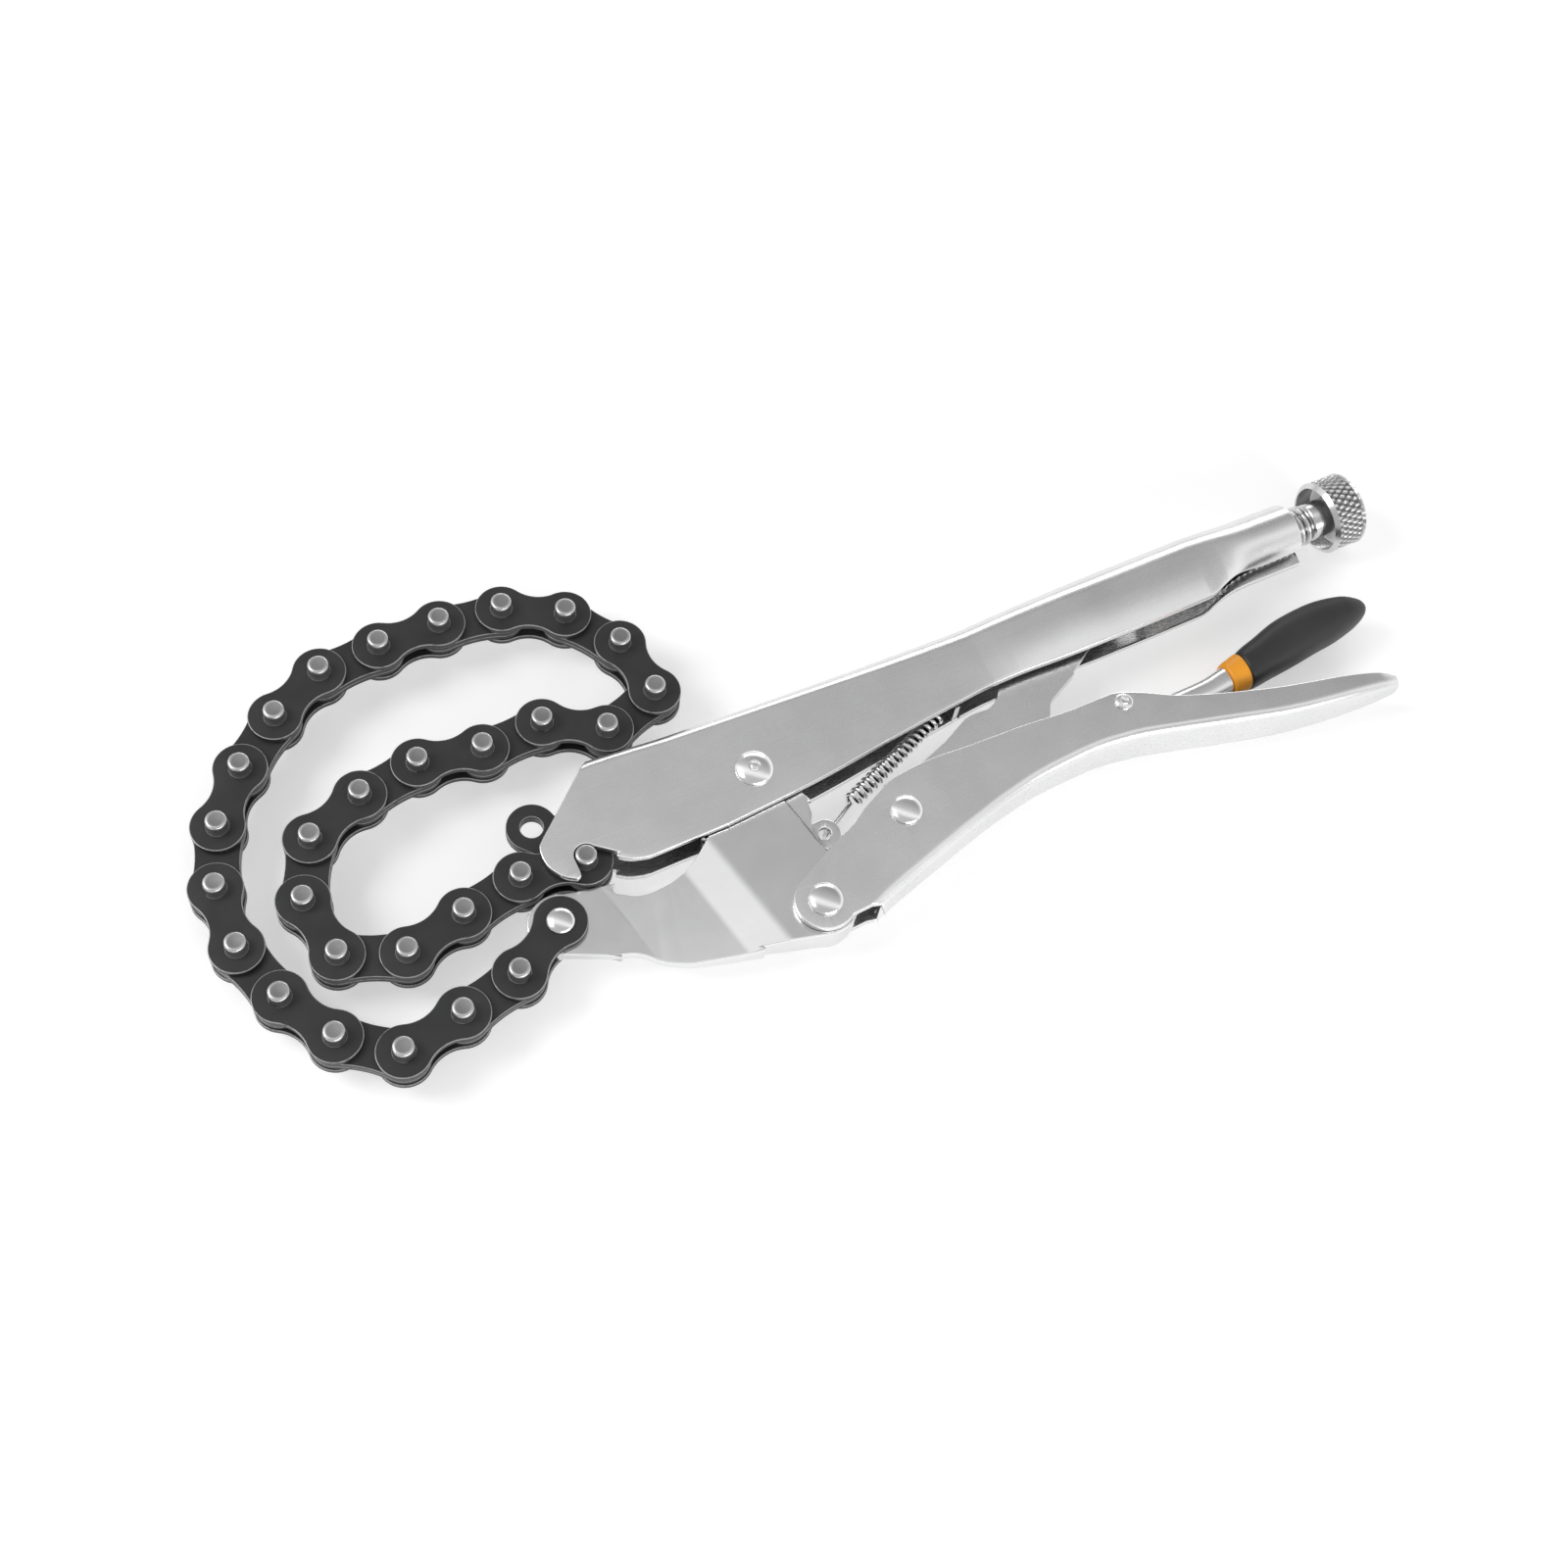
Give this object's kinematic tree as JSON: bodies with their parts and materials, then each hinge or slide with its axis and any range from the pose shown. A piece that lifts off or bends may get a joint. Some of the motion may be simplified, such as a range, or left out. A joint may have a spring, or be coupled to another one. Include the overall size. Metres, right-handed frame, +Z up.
{
  "type": "chain clamp",
  "caption": "Locking pliers with a folded handle, toggle lever, adjusting screw and a leaf chain that loops round a pipe and hooks into the fixed jaw.",
  "frame": {"origin": "middle of the bounding box, at the level of the surface that the tool lies on", "axes": "+X along the fixed handle from the hook to the adjusting knob, +Y towards the handle's back, +Z up along every rivet"},
  "size_m": [0.3175, 0.1216, 0.0196],
  "materials": {
    "plated_steel": "satin nickel-plated pressed sheet",
    "bright_steel": "bright plated, turned or headed",
    "black_oxide_steel": "dark oxide with worn edges",
    "spring_wire": "drawn spring wire",
    "orange_vinyl": "moulded orange band",
    "black_vinyl": "dipped black grip"
  },
  "bodies": {
    "fixed_handle": {"fixed_handle": "plated_steel", "jaw_rivet": "bright_steel", "return_spring": "spring_wire"},
    "adjusting_screw": {"adjusting_screw": "bright_steel"},
    "lower_jaw": {"lower_jaw": "plated_steel", "chain_rivet": "bright_steel"},
    "lever_handle": {"lever_handle": "plated_steel", "lever_rivet": "bright_steel", "link_rivet": "bright_steel", "release_pin": "bright_steel"},
    "toggle_link": {"toggle_link": "plated_steel"},
    "release_lever": {"release_lever": "plated_steel", "release_collar": "orange_vinyl", "release_grip": "black_vinyl"},
    "link_01": {"link_01": "black_oxide_steel"},
    "link_02": {"link_02_upper": "black_oxide_steel", "link_02_lower": "black_oxide_steel"},
    "link_03": {"link_03": "black_oxide_steel"},
    "link_04": {"link_04_upper": "black_oxide_steel", "link_04_lower": "black_oxide_steel"},
    "link_05": {"link_05": "black_oxide_steel"},
    "link_06": {"link_06_upper": "black_oxide_steel", "link_06_lower": "black_oxide_steel"},
    "link_07": {"link_07": "black_oxide_steel"},
    "link_08": {"link_08_upper": "black_oxide_steel", "link_08_lower": "black_oxide_steel"},
    "link_09": {"link_09": "black_oxide_steel"},
    "link_10": {"link_10_upper": "black_oxide_steel", "link_10_lower": "black_oxide_steel"},
    "link_11": {"link_11": "black_oxide_steel"},
    "link_12": {"link_12_upper": "black_oxide_steel", "link_12_lower": "black_oxide_steel"},
    "link_13": {"link_13": "black_oxide_steel"},
    "link_14": {"link_14_upper": "black_oxide_steel", "link_14_lower": "black_oxide_steel"},
    "link_15": {"link_15": "black_oxide_steel"},
    "link_16": {"link_16_upper": "black_oxide_steel", "link_16_lower": "black_oxide_steel"},
    "link_17": {"link_17": "black_oxide_steel"},
    "link_18": {"link_18_upper": "black_oxide_steel", "link_18_lower": "black_oxide_steel"},
    "link_19": {"link_19": "black_oxide_steel"},
    "link_20": {"link_20_upper": "black_oxide_steel", "link_20_lower": "black_oxide_steel"},
    "link_21": {"link_21": "black_oxide_steel"},
    "link_22": {"link_22_upper": "black_oxide_steel", "link_22_lower": "black_oxide_steel"},
    "link_23": {"link_23": "black_oxide_steel"},
    "link_24": {"link_24_upper": "black_oxide_steel", "link_24_lower": "black_oxide_steel"},
    "link_25": {"link_25": "black_oxide_steel"},
    "link_26": {"link_26_upper": "black_oxide_steel", "link_26_lower": "black_oxide_steel"},
    "link_27": {"link_27": "black_oxide_steel"},
    "link_28": {"link_28_upper": "black_oxide_steel", "link_28_lower": "black_oxide_steel"},
    "link_29": {"link_29": "black_oxide_steel"},
    "link_30": {"link_30_upper": "black_oxide_steel", "link_30_lower": "black_oxide_steel"}
  },
  "joints": [
    {"name": "jaw_swing", "type": "hinge", "parent": "fixed_handle", "child": "lower_jaw", "pos_m": [-0.0249, -0.01485, 0.0098], "axis": [0, 0, 1], "range_deg": [0, 30]},
    {"name": "lever_swing", "type": "hinge", "parent": "lower_jaw", "child": "lever_handle", "pos_m": [-0.0249, -0.05265, 0.0098], "axis": [0, 0, 1], "range_deg": [-44, 0], "deforming": ["return_spring"]},
    {"name": "toggle_swing", "type": "hinge", "parent": "lever_handle", "child": "toggle_link", "pos_m": [0.0037, -0.03995, 0.0098], "axis": [0, 0, 1], "range_deg": [0, 60]},
    {"name": "release_swing", "type": "hinge", "parent": "lever_handle", "child": "release_lever", "pos_m": [0.0678, -0.03605, 0.0098], "axis": [0, 0, 1], "range_deg": [-7, 0]},
    {"name": "screw_feed", "type": "slide", "parent": "fixed_handle", "child": "adjusting_screw", "axis": [1, 0, 0], "range_m": [0, 0.008]},
    {"name": "chain_pin_00", "type": "hinge", "parent": "lower_jaw", "child": "link_01", "pos_m": [-0.0831, -0.03095, 0.0098], "axis": [0, 0, 1], "range_deg": [-60, 60]},
    {"name": "chain_pin_01", "type": "hinge", "parent": "link_01", "child": "link_02", "pos_m": [-0.09685, -0.03889, 0.0098], "axis": [0, 0, 1], "range_deg": [-60, 60]},
    {"name": "chain_pin_02", "type": "hinge", "parent": "link_02", "child": "link_03", "pos_m": [-0.11232, -0.04246, 0.0098], "axis": [0, 0, 1], "range_deg": [-60, 60]},
    {"name": "chain_pin_03", "type": "hinge", "parent": "link_03", "child": "link_04", "pos_m": [-0.1279, -0.04549, 0.0098], "axis": [0, 0, 1], "range_deg": [-60, 60]},
    {"name": "chain_pin_04", "type": "hinge", "parent": "link_04", "child": "link_05", "pos_m": [-0.14041, -0.03571, 0.0098], "axis": [0, 0, 1], "range_deg": [-60, 60]},
    {"name": "chain_pin_05", "type": "hinge", "parent": "link_05", "child": "link_06", "pos_m": [-0.14798, -0.02176, 0.0098], "axis": [0, 0, 1], "range_deg": [-60, 60]},
    {"name": "chain_pin_06", "type": "hinge", "parent": "link_06", "child": "link_07", "pos_m": [-0.15249, -0.00654, 0.0098], "axis": [0, 0, 1], "range_deg": [-60, 60]},
    {"name": "chain_pin_07", "type": "hinge", "parent": "link_07", "child": "link_08", "pos_m": [-0.15166, 0.00931, 0.0098], "axis": [0, 0, 1], "range_deg": [-60, 60]},
    {"name": "chain_pin_08", "type": "hinge", "parent": "link_08", "child": "link_09", "pos_m": [-0.14572, 0.02403, 0.0098], "axis": [0, 0, 1], "range_deg": [-60, 60]},
    {"name": "chain_pin_09", "type": "hinge", "parent": "link_09", "child": "link_10", "pos_m": [-0.13562, 0.03628, 0.0098], "axis": [0, 0, 1], "range_deg": [-60, 60]},
    {"name": "chain_pin_10", "type": "hinge", "parent": "link_10", "child": "link_11", "pos_m": [-0.12319, 0.04616, 0.0098], "axis": [0, 0, 1], "range_deg": [-60, 60]},
    {"name": "chain_pin_11", "type": "hinge", "parent": "link_11", "child": "link_12", "pos_m": [-0.10911, 0.05349, 0.0098], "axis": [0, 0, 1], "range_deg": [-60, 60]},
    {"name": "chain_pin_12", "type": "hinge", "parent": "link_12", "child": "link_13", "pos_m": [-0.09328, 0.0546, 0.0098], "axis": [0, 0, 1], "range_deg": [-60, 60]},
    {"name": "chain_pin_13", "type": "hinge", "parent": "link_13", "child": "link_14", "pos_m": [-0.0774, 0.0546, 0.0098], "axis": [0, 0, 1], "range_deg": [-60, 60]},
    {"name": "chain_pin_14", "type": "hinge", "parent": "link_14", "child": "link_15", "pos_m": [-0.06168, 0.05239, 0.0098], "axis": [0, 0, 1], "range_deg": [-60, 60]},
    {"name": "chain_pin_15", "type": "hinge", "parent": "link_15", "child": "link_16", "pos_m": [-0.0478, 0.04469, 0.0098], "axis": [0, 0, 1], "range_deg": [-60, 60]},
    {"name": "chain_pin_16", "type": "hinge", "parent": "link_16", "child": "link_17", "pos_m": [-0.0388, 0.03161, 0.0098], "axis": [0, 0, 1], "range_deg": [-60, 60]},
    {"name": "chain_pin_17", "type": "hinge", "parent": "link_17", "child": "link_18", "pos_m": [-0.03673, 0.01587, 0.0098], "axis": [0, 0, 1], "range_deg": [-60, 60]},
    {"name": "chain_pin_18", "type": "hinge", "parent": "link_18", "child": "link_19", "pos_m": [-0.05183, 0.01097, 0.0098], "axis": [0, 0, 1], "range_deg": [-60, 60]},
    {"name": "chain_pin_19", "type": "hinge", "parent": "link_19", "child": "link_20", "pos_m": [-0.06558, 0.0189, 0.0098], "axis": [0, 0, 1], "range_deg": [-60, 60]},
    {"name": "chain_pin_20", "type": "hinge", "parent": "link_20", "child": "link_21", "pos_m": [-0.08144, 0.01821, 0.0098], "axis": [0, 0, 1], "range_deg": [-60, 60]},
    {"name": "chain_pin_21", "type": "hinge", "parent": "link_21", "child": "link_22", "pos_m": [-0.0971, 0.02083, 0.0098], "axis": [0, 0, 1], "range_deg": [-60, 60]},
    {"name": "chain_pin_22", "type": "hinge", "parent": "link_22", "child": "link_23", "pos_m": [-0.11277, 0.01835, 0.0098], "axis": [0, 0, 1], "range_deg": [-60, 60]},
    {"name": "chain_pin_23", "type": "hinge", "parent": "link_23", "child": "link_24", "pos_m": [-0.12749, 0.0124, 0.0098], "axis": [0, 0, 1], "range_deg": [-60, 60]},
    {"name": "chain_pin_24", "type": "hinge", "parent": "link_24", "child": "link_25", "pos_m": [-0.1347, -0.00174, 0.0098], "axis": [0, 0, 1], "range_deg": [-60, 60]},
    {"name": "chain_pin_25", "type": "hinge", "parent": "link_25", "child": "link_26", "pos_m": [-0.13263, -0.01748, 0.0098], "axis": [0, 0, 1], "range_deg": [-60, 60]},
    {"name": "chain_pin_26", "type": "hinge", "parent": "link_26", "child": "link_27", "pos_m": [-0.11796, -0.02356, 0.0098], "axis": [0, 0, 1], "range_deg": [-60, 60]},
    {"name": "chain_pin_27", "type": "hinge", "parent": "link_27", "child": "link_28", "pos_m": [-0.10253, -0.01985, 0.0098], "axis": [0, 0, 1], "range_deg": [-60, 60]},
    {"name": "chain_pin_28", "type": "hinge", "parent": "link_28", "child": "link_29", "pos_m": [-0.08695, -0.01679, 0.0098], "axis": [0, 0, 1], "range_deg": [-60, 60]},
    {"name": "loose_end_swing", "type": "hinge", "parent": "link_29", "child": "link_30", "pos_m": [-0.07125, -0.01915, 0.0098], "axis": [0, 0, 1], "range_deg": [-70, 3]}
  ],
  "couplings": [
    {"joint": "jaw_swing", "follows": "lever_swing", "ratio": -0.18182},
    {"joint": "toggle_swing", "follows": "lever_swing", "ratio": -1.125},
    {"joint": "chain_pin_00", "follows": "lever_swing", "ratio": 0.32831},
    {"joint": "chain_pin_01", "follows": "lever_swing", "ratio": -0.24313},
    {"joint": "chain_pin_02", "follows": "lever_swing", "ratio": 0.20841},
    {"joint": "chain_pin_03", "follows": "lever_swing", "ratio": -0.2486},
    {"joint": "chain_pin_04", "follows": "lever_swing", "ratio": 0.2059},
    {"joint": "chain_pin_05", "follows": "lever_swing", "ratio": -0.24656},
    {"joint": "chain_pin_06", "follows": "lever_swing", "ratio": 0.21013},
    {"joint": "chain_pin_07", "follows": "lever_swing", "ratio": -0.24095},
    {"joint": "chain_pin_08", "follows": "lever_swing", "ratio": 0.21729},
    {"joint": "chain_pin_09", "follows": "lever_swing", "ratio": -0.23335},
    {"joint": "chain_pin_10", "follows": "lever_swing", "ratio": 0.22508},
    {"joint": "chain_pin_11", "follows": "lever_swing", "ratio": -0.22606},
    {"joint": "chain_pin_12", "follows": "lever_swing", "ratio": 0.23134},
    {"joint": "chain_pin_13", "follows": "lever_swing", "ratio": -0.2211},
    {"joint": "chain_pin_14", "follows": "lever_swing", "ratio": 0.12201},
    {"joint": "chain_pin_15", "follows": "lever_swing", "ratio": -0.10474},
    {"joint": "chain_pin_16", "follows": "lever_swing", "ratio": 0.12157},
    {"joint": "chain_pin_17", "follows": "lever_swing", "ratio": -0.10855},
    {"joint": "chain_pin_18", "follows": "lever_swing", "ratio": 0.11536},
    {"joint": "chain_pin_19", "follows": "lever_swing", "ratio": -0.10583},
    {"joint": "chain_pin_20", "follows": "lever_swing", "ratio": 0.12592},
    {"joint": "chain_pin_21", "follows": "lever_swing", "ratio": -0.09582},
    {"joint": "chain_pin_22", "follows": "lever_swing", "ratio": 0.13553},
    {"joint": "chain_pin_23", "follows": "lever_swing", "ratio": -0.08825},
    {"joint": "chain_pin_24", "follows": "lever_swing", "ratio": 0.13795},
    {"joint": "chain_pin_25", "follows": "lever_swing", "ratio": -0.09313},
    {"joint": "chain_pin_26", "follows": "lever_swing", "ratio": 0.12817},
    {"joint": "chain_pin_27", "follows": "lever_swing", "ratio": -0.10358},
    {"joint": "chain_pin_28", "follows": "lever_swing", "ratio": 0.11938}
  ]
}
